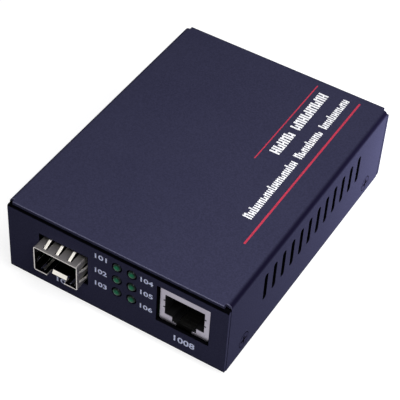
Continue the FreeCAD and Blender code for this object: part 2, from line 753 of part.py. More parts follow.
def make_cage():
    """Folded SFP cage: spring fingers round its mouth, latch tongue in its floor, legs below."""
    body = new_body("sfp_cage")
    side, top, skin = s.cage_width / 2, s.cage_height, s.cage_sheet
    back = s.cage_length
    pad(body, "tube", "XZ", ZERO, back, rectangle(-side, side, ZERO, top))
    dress(body, "Fillet", "folds", s.cage_fold_radius,
          straight("y", x=side, z=ZERO), straight("y", x=side, z=top))
    pocket(body, "inside", "XZ", -CLEAR, back - skin,
           rectangle(-side + skin, side - skin, skin, top - skin))

    window = s.finger_window / 2
    mouth, far = s.finger_start, s.finger_start + s.finger_length
    through = skin * 1.5
    first_finger = -s.finger_spacing * (s.roof_fingers - 1) / 2
    cut = pocket(body, "roof_window", "XY", top - through, top + CLEAR,
                 rectangle(first_finger - window, first_finger + window, mouth, far))
    row_of(body, "roof_windows", cut, "X", s.finger_spacing, s.roof_fingers)
    pocket(body, "side_windows", "YZ", -side - CLEAR, side + CLEAR, *(
        rectangle(mouth, far, level - window, level + window) for level in side_finger_levels()))
    pocket(body, "floor_windows", "XY", -CLEAR, through, *(
        rectangle(centre - window, centre + window, mouth, far)
        for centre in (-s.floor_finger_place, s.floor_finger_place)))
    tongue_root = s.tongue_start + s.tongue_length
    gap = s.tongue_gap_width / 2
    pocket(body, "tongue_gap", "XY", -CLEAR, through, rectangle(-gap, gap, -CLEAR, tongue_root))
    socket_front = back - skin - s.socket_end_gap - s.socket_depth
    pocket(body, "floor_behind", "XY", -CLEAR, through,
           rectangle(-side + skin, side - skin, socket_front - s.socket_end_gap, back - skin))

    half_finger = s.finger_width / 2
    roof_rise = s.cage_opening_top - s.finger_slack
    wall_rise = s.cage_opening_side - s.finger_slack
    finger = pad(body, "roof_finger", "YZ", first_finger - half_finger, first_finger + half_finger,
                 finger_profile(top, roof_rise, 1))
    row_of(body, "roof_finger_row", finger, "X", s.finger_spacing, s.roof_fingers)
    for number, level in enumerate(side_finger_levels(), start=1):
        pad(body, f"side_fingers_{number}", "XY", level - half_finger, level + half_finger,
            finger_profile(side, wall_rise, 1, swap=True),
            finger_profile(-side, wall_rise, -1, swap=True))
    for number, centre in enumerate((-s.floor_finger_place, s.floor_finger_place), start=1):
        pad(body, f"floor_finger_{number}", "YZ", centre - half_finger, centre + half_finger,
            finger_profile(ZERO, wall_rise, -1))

    tip, crest = s.tongue_start, s.tongue_start + s.tongue_lip
    pad(body, "latch_tongue", "YZ", -s.tongue_width / 2, s.tongue_width / 2, outline(
        (tip, -s.tongue_drop), (tip + skin, -s.tongue_drop), (crest + skin, s.tongue_rise),
        (tongue_root - skin, ZERO), (tongue_root + skin, ZERO), (tongue_root + skin, skin),
        (tongue_root - skin, skin), (crest, s.tongue_rise + skin)))

    leg = pad(body, "leg_pair", "XY", -s.cage_lift, s.cage_fold_radius + skin,
              rectangle(side - skin, side, s.cage_leg_start, s.cage_leg_start + s.cage_leg_width),
              rectangle(-side, -side + skin, s.cage_leg_start, s.cage_leg_start + s.cage_leg_width))
    leg_run = back - s.cage_leg_start - s.cage_leg_width - s.cage_leg_end
    row_of(body, "leg_pairs", leg, "Y", leg_run / (s.cage_leg_count - 1), s.cage_leg_count)
    return place(body, cage_place, -cage_front, cage_floor)


def side_finger_levels():
    middle = s.cage_height / 2
    return middle - s.side_finger_spacing / 2, middle + s.side_finger_spacing / 2


def make_socket():
    """The moulded socket at the back of the cage that a module's edge plugs into."""
    body = new_body("sfp_socket")
    half = s.socket_width / 2
    pad(body, "block", "XZ", ZERO, s.socket_depth, rectangle(-half, half, ZERO, s.socket_height))
    dress(body, "Chamfer", "front_edges", s.cage_sheet,
          straight("x", y=ZERO, z=s.socket_height), straight("z", x=half, y=ZERO))
    pocket(body, "slot", "XZ", -CLEAR, s.socket_slot_depth, rectangle(
        -s.socket_slot_width / 2, s.socket_slot_width / 2,
        s.socket_slot_level, s.socket_slot_level + s.socket_slot_height))
    return place(body, cage_place, socket_mouth(), board_top)


def socket_mouth():
    return s.cage_length - s.cage_sheet - s.socket_end_gap - s.socket_depth - cage_front


def make_socket_contacts():
    """Two rows of flat contacts on the faces of the socket's slot."""
    contact = new_body("sfp_contact")
    half = s.socket_contact_width / 2
    pad(contact, "blade", "XZ", s.cage_sheet, s.socket_slot_depth,
        rectangle(-half, half, ZERO, s.socket_contact_thickness))
    count = DRIVING_SIZES["socket_contacts"]
    first = cage_place - s.socket_contact_pitch * (count - 1) / 2
    low = board_top + s.socket_slot_level
    high = low + s.socket_slot_height - s.socket_contact_thickness
    return group("sfp_contacts", [
        (contact, first + s.socket_contact_pitch * step, socket_mouth(), level, UPRIGHT)
        for step in range(count) for level in (low, high)])


# ---------------------------------------------------------------- RJ45 jack

def port_outline(roof, below):
    """The stepped mouth of the jack, with its latch keyway at the bottom."""
    wide, step, key = s.port_width / 2, s.port_step_width / 2, s.port_key_width / 2
    right = [(key, below), (key, s.port_step_floor), (step, s.port_step_floor), (step, s.port_floor),
             (wide, s.port_floor), (wide, roof)]
    return outline(*right, *((-x, y) for x, y in reversed(right)))


def make_jack_shield():
    """Folded shield over the jack, open below, with the port's outline in its face."""
    body = new_body("rj45_shield")
    side, skin = s.jack_width / 2, s.jack_sheet
    pad(body, "can", "XZ", ZERO, s.jack_depth, rectangle(-side, side, ZERO, s.jack_height))
    dress(body, "Fillet", "folds", s.jack_corner_radius,
          straight("y", x=side, z=ZERO), straight("y", x=side, z=s.jack_height))
    pocket(body, "inside", "XY", -CLEAR, s.jack_height - skin,
           rectangle(-side + skin, side - skin, skin, s.jack_depth - skin))
    pocket(body, "port", "XZ", -CLEAR, skin * 1.5, port_outline(s.port_roof, -CLEAR))
    edge, nick = s.port_width / 2, skin * 2
    pocket(body, "spring_nicks", "XZ", -CLEAR, skin * 1.5, *(
        rectangle(*across, level, level + nick)
        for across in ((edge - skin, edge + nick), (-edge - nick, -edge + skin))
        for level in (s.port_roof * 0.5, s.port_roof * 0.75)))
    return place(body, jack_place, -jack_face, board_top)


def make_jack_housing():
    """Moulded body inside the shield, with the cavity for the plug."""
    body = new_body("rj45_housing")
    step_in = s.jack_sheet + s.jack_housing_gap
    side = s.jack_width / 2 - step_in
    pad(body, "block", "XZ", step_in, s.jack_depth - step_in,
        rectangle(-side, side, ZERO, s.jack_height - step_in))
    pocket(body, "cavity", "XZ", -CLEAR, s.port_depth, port_outline(s.port_roof, -CLEAR))
    dress(body, "Fillet", "upper_folds", s.jack_corner_radius,
          straight("y", x=side, z=s.jack_height - step_in))
    return place(body, jack_place, -jack_face, board_top)


def make_jack_contacts():
    """Eight spring wires that slope from the roof of the port to its back wall."""
    wire = new_body("rj45_contact")
    thick, half = s.port_contact_thickness, s.port_contact_width / 2
    roof, back = s.port_roof, s.port_depth
    bend, low, knee = back * 0.3, roof * 0.72, back * 0.86
    pad(wire, "bent_wire", "YZ", -half, half, outline(
        (back * 0.15, roof), (back * 0.15, roof - thick), (bend, roof - thick), (knee, low),
        (back, low), (back, low + thick), (knee + thick / 3, low + thick), (bend + thick / 3, roof)))
    count = DRIVING_SIZES["port_contacts"]
    first = jack_place - s.port_contact_pitch * (count - 1) / 2
    return group("rj45_contacts", [
        (wire, first + s.port_contact_pitch * step, -jack_face, board_top, UPRIGHT)
        for step in range(count)])


# ---------------------------------------------------------------- status lights

def light_tip():
    return -(half_depth + s.light_proud)


def make_light(label, x, row):
    """A round lens with a domed end and a flange behind, turned about its own axis."""
    body = new_body(label)
    radius, flange, end = s.light_radius, s.light_flange_radius, s.light_length
    dome = [(radius * math.sin(turn * math.pi / 8), radius - radius * math.cos(turn * math.pi / 8))
            for turn in range(1, 4)]
    revolve(body, "lens", "XY", "V_Axis", outline(
        (ZERO, ZERO), *dome, (radius, radius), (radius, end - s.light_flange_length),
        (flange, end - s.light_flange_length), (flange, end), (ZERO, end)))
    return place(body, x, light_tip(), light_height(row))


def make_light_holder(label, x):
    """A moulded stand that carries one column of lights behind the panel."""
    body = new_body(label)
    front = -(panel_inside - s.light_holder_gap)
    back = front + s.light_holder_depth
    shoulder = light_tip() + s.light_length - s.light_flange_length
    half = s.light_holder_width / 2
    top = light_height(len(LIGHT_ROWS) - 1) + s.light_holder_headroom
    pad(body, "block", "XZ", front, back, rectangle(x - half, x + half, board_top, top))
    pocket(body, "bores", "XZ", front - CLEAR, back + CLEAR,
           *(circle(x, light_height(row), s.light_radius + s.thread_clearance) for row in LIGHT_ROWS))
    pocket(body, "flange_seats", "XZ", shoulder, back + CLEAR,
           *(circle(x, light_height(row), s.light_flange_radius + s.thread_clearance)
             for row in LIGHT_ROWS))
    dress(body, "Chamfer", "top_edges", s.lead_side, straight("x", y=-front, z=top),
          straight("x", y=-back, z=top))
    return place(body)


def make_light_leads():
    """Square leads, two to each light, that turn down to the board behind the holders."""
    half = s.lead_side / 2
    start = light_tip() + s.light_length
    places = []
    for row in LIGHT_ROWS:
        lead = new_body(f"light_lead_{row + 1}")
        run = s.lead_first_run + s.lead_pitch * row
        drop = light_height(row) - board_top
        pad(lead, "bent_lead", "YZ", -half, half, outline(
            (ZERO, half), (run, half), (run, -drop), (run - s.lead_side, -drop),
            (run - s.lead_side, -half), (ZERO, -half)))
        places += [(lead, x + sign * s.lead_spread / 2, start, light_height(row), UPRIGHT)
                   for x in light_columns for sign in (1, -1)]
    return group("light_leads", places)


# ---------------------------------------------------------------- power inlet

def make_inlet_housing():
    """Moulded barrel inlet; its mouth faces out through the hole in the rear panel."""
    body = new_body("inlet_housing")
    half, neck = s.inlet_width / 2, s.inlet_width / 2 - s.inlet_step
    pad(body, "flange", "XZ", -s.inlet_flange, ZERO, rectangle(-half, half, ZERO, s.inlet_height))
    dress(body, "Fillet", "flange_corners", s.inlet_step,
          straight("y", x=half, z=s.inlet_height))
    pad(body, "lower_body", "XZ", -s.inlet_depth, -s.inlet_flange,
        rectangle(-neck, neck, ZERO, s.inlet_axis))
    pad(body, "upper_body", "XZ", -s.inlet_depth, -s.inlet_flange, circle(ZERO, s.inlet_axis, neck))
    pocket(body, "bore", "XZ", -s.inlet_bore_depth, CLEAR,
           circle(ZERO, s.inlet_axis, s.inlet_bore_radius))
    slot_half = s.inlet_spring_width / 2 + s.hole_clearance
    pocket(body, "spring_slot", "XZ", -s.inlet_bore_depth, CLEAR, rectangle(
        -slot_half, slot_half, spring_seat(), s.inlet_axis - s.inlet_bore_radius * 0.8))
    return place(body, inlet_place, panel_inside - s.inlet_gap, board_top)


def spring_seat():
    return s.inlet_axis - s.inlet_bore_radius - s.inlet_spring_slot


def make_inlet_pin():
    body = new_body("inlet_pin")
    pad(body, "shaft", "XZ", -s.inlet_bore_depth, s.inlet_pin_length - s.inlet_bore_depth,
        circle(ZERO, s.inlet_axis, s.inlet_pin_radius))
    dress(body, "Chamfer", "tapered_end", s.inlet_pin_radius * 0.6,
          round_edge(s.inlet_pin_radius, y=s.inlet_bore_depth - s.inlet_pin_length))
    return place(body, inlet_place, panel_inside - s.inlet_gap, board_top)


def make_inlet_spring():
    """Bent leaf in the slot under the bore that presses on the plug's sleeve."""
    body = new_body("inlet_spring")
    half, thick, seat = s.inlet_spring_width / 2, s.inlet_spring_thickness, spring_seat()
    depth, rise = s.inlet_bore_depth, s.inlet_spring_slot
    route = [(depth * -0.98, ZERO), (depth * -0.65, ZERO), (depth * -0.45, rise), (depth * -0.2, rise * 0.2)]
    lower = [(y, seat + up) for y, up in route]
    upper = [(y, level + thick) for y, level in reversed(lower)]
    pad(body, "leaf", "YZ", -half, half, outline(*lower, *upper))
    return place(body, inlet_place, panel_inside - s.inlet_gap, board_top)


# ---------------------------------------------------------------- components on the board

def gull_legs(body, name, span, height, count, pitch, axis):
    """Rows of gull wing legs on two opposite sides of a package; the rows run along an axis."""
    foot, thick = s.leg_reach, s.leg_thickness
    edge, level = span / 2, height / 2
    shin = edge + foot * 0.4
    route = [(edge - thick, level), (shin, level), (shin, thick), (edge + foot, thick),
             (edge + foot, ZERO), (shin - thick, ZERO), (shin - thick, level - thick),
             (edge - thick, level - thick)]
    start = -pitch * (count - 1) / 2
    sides = (route, [(-across, up) for across, up in route])
    plane = "YZ" if axis == "X" else "XZ"
    leg = pad(body, f"{name}_pair", plane, start - s.leg_width / 2, start + s.leg_width / 2,
              *(outline(*points) for points in sides))
    row_of(body, f"{name}_row", leg, axis, pitch, count)


def make_package(label, x, y, length, width, height, legs, pitch, four_sides=False):
    """A moulded chip package with gull wing legs."""
    body = new_body(label)
    pad(body, "moulding", "XY", s.leg_thickness / 2, height,
        rectangle(-length / 2, length / 2, -width / 2, width / 2))
    dress(body, "Chamfer", "edges", s.leg_thickness,
          straight("x", y=width / 2, z=height), straight("y", x=length / 2, z=height))
    gull_legs(body, "leg", width, height, legs, pitch, "X")
    if four_sides:
        gull_legs(body, "end_leg", length, height, legs, pitch, "Y")
    return place(body, x, y, board_top)


def make_heat_sink():
    """Extruded finned block on the main chip."""
    body = new_body("heat_sink")
    half, fin = s.chip_width / 2, s.sink_fin_thickness
    pad(body, "base", "XZ", -half, half, rectangle(-half, half, ZERO, s.sink_base))
    first = pad(body, "fin", "XZ", -half, half, rectangle(-half, -half + fin, ZERO, s.sink_height))
    row_of(body, "fins", first, "X", (s.chip_width - fin) / (s.sink_fins - 1), s.sink_fins)
    return place(body, s.chip_x, s.chip_y, board_top + s.chip_height)


def make_crystal():
    """Metal crystal can with a rolled rim at its foot."""
    body = new_body("crystal_can")
    rim = s.crystal_rim
    pad(body, "rim", "XY", ZERO, rim,
        slot(ZERO, ZERO, s.crystal_width + rim * 2, s.crystal_length + rim * 2))
    pad(body, "can", "XY", rim, s.crystal_height, slot(ZERO, ZERO, s.crystal_width, s.crystal_length))
    doc.recompute()
    dress(body, "Chamfer", "shoulder", rim, lambda edge: same(edge.BoundBox.ZMin, s.crystal_height))
    return place(body, s.crystal_x, s.crystal_y, board_top)


def make_capacitors():
    """Aluminium capacitors in a row."""
    can = new_body("capacitor")
    radius, groove, base = s.capacitor_radius, s.capacitor_groove, s.capacitor_base
    revolve(can, "turned", "XZ", "V_Axis", outline(
        (ZERO, ZERO), (radius, ZERO), (radius, base), (radius - groove, base + groove),
        (radius, base + groove * 2), (radius, s.capacitor_height - groove),
        (radius - groove, s.capacitor_height), (ZERO, s.capacitor_height)))
    return group("bulk_capacitors", [
        (can, s.capacitor_from_side - board_half + s.capacitor_pitch * step,
         board_end - s.capacitor_from_end, board_top, UPRIGHT)
        for step in range(DRIVING_SIZES["capacitor_count"])])


def make_inductor():
    """Moulded power inductor with cut corners and a round core face."""
    body = new_body("power_inductor")
    half, cut = s.inductor_width / 2, s.inductor_corner
    near = half - cut
    pad(body, "block", "XY", ZERO, s.inductor_height, outline(
        (half, -near), (half, near), (near, half), (-near, half),
        (-half, near), (-half, -near), (-near, -half), (near, -half)))
    pocket(body, "core_face", "XY", s.inductor_height - s.leg_thickness, s.inductor_height + CLEAR,
           circle(ZERO, ZERO, near))
    return place(body, s.inductor_x, board_end - s.inductor_from_end, board_top)


def make_regulator():
    """Voltage regulator: moulded block, soldered tab behind, three legs in front."""
    body = new_body("voltage_regulator")
    half, length = s.regulator_width / 2, s.regulator_length / 2
    pad(body, "moulding", "XY", ZERO, s.regulator_height, rectangle(-half, half, -length, length))
    pad(body, "tab", "XY", ZERO, s.regulator_tab_thickness,
        rectangle(s.leg_width - half, half - s.leg_width, length, length + s.regulator_tab))
    leg = pad(body, "leg", "XY", ZERO, s.leg_thickness, rectangle(
        s.leg_width - half, s.leg_width * 3 - half, -length - s.leg_reach * 2, -length))
    row_of(body, "legs", leg, "X", (half - s.leg_width * 2) * 2 / (s.regulator_legs - 1), s.regulator_legs)
    return place(body, s.regulator_from_side - board_half, s.regulator_y, board_top)


nodes = [
    make_chassis(), make_cover(), make_cover_screws(), make_feet(),
    make_standoffs(), make_board(), make_board_screws(),
    make_cage(), make_socket(), make_socket_contacts(),
    make_jack_shield(), make_jack_housing(), make_jack_contacts(),
    *(make_light(f"status_light_{number}", x, row) for number, (x, row) in enumerate(
        ((x, row) for x in light_columns for row in reversed(LIGHT_ROWS)), start=1)),
    make_light_holder("light_holder_left", s.light_left),
    make_light_holder("light_holder_right", s.light_right),
    make_light_leads(),
    make_inlet_housing(), make_inlet_pin(), make_inlet_spring(),
    make_package("converter_chip", s.chip_x, s.chip_y, s.chip_width, s.chip_width, s.chip_height,
                 s.chip_legs, s.chip_leg_pitch, four_sides=True),
    make_heat_sink(),
    make_package("magnetics_module", jack_place - s.magnetics_offset,
                 jack_back + s.magnetics_to_jack + s.magnetics_width / 2 + s.leg_reach,
                 s.magnetics_length, s.magnetics_width, s.magnetics_height,
                 s.magnetics_legs, s.magnetics_leg_pitch),
    make_package("memory_chip", s.memory_x, s.memory_y, s.memory_length, s.memory_width,
                 s.memory_height, s.memory_legs, s.memory_leg_pitch),
    make_crystal(), make_capacitors(), make_inductor(), make_regulator(),
]

doc.recompute()
for item in doc.Objects:
    if "Invalid" in item.State or "Error" in item.State:
        raise RuntimeError(f"{item.Name} failed: {item.State}")
for node in nodes:
    if node.Shape.isNull() or not node.Shape.isValid() or node.Shape.Volume <= 0:
        raise RuntimeError(f"{node.Label} has no valid shape")

os.makedirs("parts", exist_ok=True)
for node in nodes:
    node.Shape.exportStep(f"parts/{node.Label}.step")
    print(f"{node.Label}: {len(node.Shape.Solids)} solids, {node.Shape.Volume:.1f} mm3")
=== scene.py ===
import json
import logging
import math
from dataclasses import dataclass, field
from enum import Enum
from typing import Protocol

import bmesh
import bpy
from mathutils import Matrix, Vector


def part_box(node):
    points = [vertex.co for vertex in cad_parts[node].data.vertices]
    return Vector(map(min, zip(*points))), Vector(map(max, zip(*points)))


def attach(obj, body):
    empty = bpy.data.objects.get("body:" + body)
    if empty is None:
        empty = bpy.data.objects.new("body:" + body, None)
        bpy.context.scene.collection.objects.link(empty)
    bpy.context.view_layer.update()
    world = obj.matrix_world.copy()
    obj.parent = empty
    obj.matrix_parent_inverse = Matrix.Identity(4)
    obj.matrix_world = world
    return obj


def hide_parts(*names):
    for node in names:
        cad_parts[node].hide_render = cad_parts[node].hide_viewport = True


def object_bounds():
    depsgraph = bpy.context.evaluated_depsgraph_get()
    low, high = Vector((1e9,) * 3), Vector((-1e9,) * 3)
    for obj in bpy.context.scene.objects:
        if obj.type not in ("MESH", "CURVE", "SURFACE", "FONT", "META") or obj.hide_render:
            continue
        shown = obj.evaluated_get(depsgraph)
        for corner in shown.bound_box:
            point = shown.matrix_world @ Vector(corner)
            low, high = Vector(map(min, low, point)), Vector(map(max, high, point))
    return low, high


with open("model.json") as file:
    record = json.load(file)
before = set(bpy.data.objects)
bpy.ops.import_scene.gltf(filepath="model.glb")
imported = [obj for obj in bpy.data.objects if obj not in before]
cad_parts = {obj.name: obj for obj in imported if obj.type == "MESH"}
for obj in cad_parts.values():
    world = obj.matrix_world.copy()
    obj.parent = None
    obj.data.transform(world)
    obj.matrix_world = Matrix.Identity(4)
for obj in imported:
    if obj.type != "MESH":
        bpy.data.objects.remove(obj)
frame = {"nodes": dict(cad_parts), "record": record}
CAD_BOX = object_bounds()
CASE_LOW, CASE_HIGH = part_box("chassis_base")
COVER_LOW, COVER_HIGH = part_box("top_cover")
SHELL_LOW = Vector([min(pair) for pair in zip(CASE_LOW, COVER_LOW)])
SHELL_HIGH = Vector([max(pair) for pair in zip(CASE_HIGH, COVER_HIGH)])
UNDERSIDE = Vector((0.0, (CASE_LOW.y + CASE_HIGH.y) / 2, CASE_LOW.z))

log = logging.getLogger("media_converter")

MM = 0.001
BODY = "root"
LIGHTS = 6
FILM = 0.02 * MM            # how far print stands off the paint
FINE = 4.0                  # layers of finer noise in a grain
SOFT = 2.0                  # and in a slow cloud

Colour = tuple[float, float, float]
Point = tuple[float, float, float]
Flat = tuple[float, float]
Span = tuple[float, float]


def ink_value(red: int, green: int, blue: int) -> Colour:
    """Turns 0 to 255 colour values into the linear colour that a shader takes.

    Args:
        red: Red, 0 to 255.
        green: Green, 0 to 255.
        blue: Blue, 0 to 255.

    Returns:
        The linear colour.
    """
    def linear(value: int) -> float:
        """Returns one channel, linear."""
        share = value / 255
        return share / 12.92 if share <= 0.04045 else ((share + 0.055) / 1.055) ** 2.4
    return linear(red), linear(green), linear(blue)


class Facing(Enum):
    """The panel that a print lies on."""

    TOP = "top"
    FRONT = "front"


class Grain(Enum):
    """The direction that a plated sheet's rolling marks run in."""

    ACROSS = (0.06, 1.0, 1.0)
    ALONG = (1.0, 0.06, 1.0)
    NONE = (1.0, 1.0, 1.0)


class NodeBench:
    """A new material's node tree, with short calls for the nodes that the finishes share."""

    def __init__(self, name: str) -> None:
        """Starts a material.

        Args:
            name: The material's name.
        """
        self.material: bpy.types.Material = bpy.data.materials.new(name)
        self.material.use_nodes = True
        self.tree = self.material.node_tree
        self.shader = self.tree.nodes["Principled BSDF"]

    def add(self, kind: str, **inputs: object) -> bpy.types.Node:
        """Adds a node and sets its inputs.

        Args:
            kind: The node's type.
            **inputs: Input values, with a space in an input's name written as an underscore.

        Returns:
            The node.
        """
        node = self.tree.nodes.new(kind)
        for name, value in inputs.items():
            node.inputs[name.replace("_", " ")].default_value = value
        return node

    def join(self, source: bpy.types.NodeSocket, target: bpy.types.NodeSocket) -> None:
        """Links one socket to another."""
        self.tree.links.new(source, target)

    def set(self, **values: object) -> None:
        """Sets constant values on the shader's own sockets.

        Args:
            **values: Socket values, with a space in a socket's name written as an underscore.
        """
        for name, value in values.items():
            self.shader.inputs[name.replace("_", " ")].default_value = value

    def place(self, stretch: Point = (1.0, 1.0, 1.0)) -> bpy.types.NodeSocket:
        """Gives the object's own coordinates, stretched.

        Args:
            stretch: Scale along each axis: below 1 draws a pattern out along that axis.

        Returns:
            The vector socket.
        """
        where = self.add("ShaderNodeTexCoord")
        mapping = self.add("ShaderNodeMapping", Scale=stretch)
        self.join(where.outputs["Object"], mapping.inputs["Vector"])
        return mapping.outputs["Vector"]

    def noise(self, size: float, detail: float = 3.0,
              stretch: Point = (1.0, 1.0, 1.0)) -> bpy.types.NodeSocket:
        """Adds a noise whose blotches are about one size across.

        Args:
            size: Blotch size in metres.
            detail: Finer layers on top.
            stretch: Scale along each axis.

        Returns:
            The factor socket.
        """
        node = self.add("ShaderNodeTexNoise", Scale=1 / size, Detail=detail)
        self.join(self.place(stretch), node.inputs["Vector"])
        return node.outputs["Fac"]

    def ramp(self, factor: bpy.types.NodeSocket, low: Colour, high: Colour,
             start: float = 0.3, end: float = 0.7) -> bpy.types.NodeSocket:
        """Spreads a factor between two colours.

        Args:
            factor: The factor socket.
            low: Colour at the low end.
            high: Colour at the high end.
            start: Factor where the low colour ends.
            end: Factor where the high colour begins.

        Returns:
            The colour socket.
        """
        node = self.add("ShaderNodeValToRGB")
        first, last = node.color_ramp.elements
        first.position, last.position = start, end
        first.color, last.color = (*low, 1.0), (*high, 1.0)
        self.join(factor, node.inputs["Fac"])
        return node.outputs["Color"]

    def spread(self, factor: bpy.types.NodeSocket, low: float, high: float) -> bpy.types.NodeSocket:
        """Maps a factor to a range of values.

        Args:
            factor: The factor socket.
            low: Value at 0.
            high: Value at 1.

        Returns:
            The value socket.
        """
        node = self.add("ShaderNodeMapRange")
        node.inputs["To Min"].default_value = low
        node.inputs["To Max"].default_value = high
        self.join(factor, node.inputs["Value"])
        return node.outputs["Result"]

    def combine(self, operation: str, first: bpy.types.NodeSocket,
                second: bpy.types.NodeSocket | float = 0.0,
                clamp: bool = False) -> bpy.types.NodeSocket:
        """Works one value, or two, into another.

        Args:
            operation: The sum's kind.
            first: The first value's socket.
            second: The second value or its socket, where the sum has one.
            clamp: Whether the result stays between 0 and 1.

        Returns:
            The result's socket.
        """
        node = self.add("ShaderNodeMath")
        node.operation, node.use_clamp = operation, clamp
        self.join(first, node.inputs[0])
        if isinstance(second, bpy.types.NodeSocket):
            self.join(second, node.inputs[1])
        else:
            node.inputs[1].default_value = second
        return node.outputs[0]

    def within(self, low: Vector, high: Vector) -> bpy.types.NodeSocket:
        """Tells the surface inside a box from the rest by its place.

        Args:
            low: The box's lowest corner.
            high: The box's highest corner.

        Returns:
            A socket that is 1 inside the box.
        """
        offset = self.add("ShaderNodeVectorMath")
        offset.operation = "SUBTRACT"
        offset.inputs[1].default_value = (low + high) / 2
        self.join(self.place(), offset.inputs[0])
        reach = self.add("ShaderNodeVectorMath")
        reach.operation = "ABSOLUTE"
        self.join(offset.outputs[0], reach.inputs[0])
        axes = self.add("ShaderNodeSeparateXYZ")
        self.join(reach.outputs[0], axes.inputs[0])
        shares = [self.combine("LESS_THAN", axes.outputs[axis], limit)
                  for axis, limit in zip("XYZ", (high - low) / 2)]
        while len(shares) > 1:
            shares.append(self.combine("MULTIPLY", shares.pop(), shares.pop()))
        return shares[0]

    def blend(self, share: bpy.types.NodeSocket, under: bpy.types.NodeSocket,
              over: Colour) -> bpy.types.NodeSocket:
        """Lays one colour over another by a share.

        Args:
            share: The share of the upper colour.
            under: The lower colour.
            over: The upper colour.

        Returns:
            The colour socket.
        """
        mix = self.add("ShaderNodeMix")
        mix.data_type = "RGBA"
        self.join(share, mix.inputs[0])
        self.join(under, mix.inputs[6])
        mix.inputs[7].default_value = (*over, 1.0)
        return mix.outputs[2]

    def softened(self, radius: float) -> bpy.types.Node:
        """Splits the surface's normal along the axes, with its edges softened.

        Args:
            radius: Radius of the softened edge in metres.

        Returns:
            The node that gives the normal's share along each axis.
        """
        soft = self.add("ShaderNodeBevel", Radius=radius)
        axes = self.add("ShaderNodeSeparateXYZ")
        self.join(soft.outputs["Normal"], axes.inputs[0])
        return axes

    def bend(self, first: str, second: str, sign: float, radius: float,
             strength: float) -> bpy.types.NodeSocket:
        """Tells a bend between two axes from the flat sheet by its softened normal.

        Args:
            first: The normal's first axis.
            second: The normal's second axis.
            sign: 1 where both lean the same way, -1 where they lean apart.
            radius: Radius of the softened edge in metres.
            strength: Share at the middle of the bend.

        Returns:
            A socket that is 0 on the flat and the strength in the bend.
        """
        axes = self.softened(radius)
        lean = self.combine("MULTIPLY", axes.outputs[first], axes.outputs[second])
        return self.combine("MULTIPLY", lean, 2 * sign * strength, clamp=True)

    def leaning(self, axis: str, radius: float, start: float, end: float) -> bpy.types.NodeSocket:
        """Tells a surface square to an axis from its edges by its softened normal.

        Args:
            axis: The axis.
            radius: Radius of the softened edge in metres.
            start: Share of the normal along the axis where the edge ends.
            end: Share where the square surface begins.

        Returns:
            A socket that is 1 on the edges and 0 on the square surface.
        """
        size = self.combine("ABSOLUTE", self.softened(radius).outputs[axis])
        span = self.add("ShaderNodeMapRange", From_Min=start, From_Max=end, To_Min=1.0, To_Max=0.0)
        self.join(size, span.inputs["Value"])
        return span.outputs["Result"]

    def relief(self, height: bpy.types.NodeSocket, depth: float, edge: float = 0.0) -> None:
        """Gives the surface a relief and soft edges.

        Args:
            height: The height socket.
            depth: Relief depth in metres.
            edge: Radius of the softened edges in metres, or 0 for none.
        """
        bump = self.add("ShaderNodeBump", Strength=1.0, Distance=depth)
        self.join(height, bump.inputs["Height"])
        if edge:
            soft = self.add("ShaderNodeBevel", Radius=edge)
            self.join(soft.outputs["Normal"], bump.inputs["Normal"])
        self.join(bump.outputs["Normal"], self.shader.inputs["Normal"])


class Finish(Protocol):
    """A named surface that makes its own material."""

    @property
    def name(self) -> str:
        """The surface's name."""

    def make(self) -> bpy.types.Material:
        """Returns the material."""


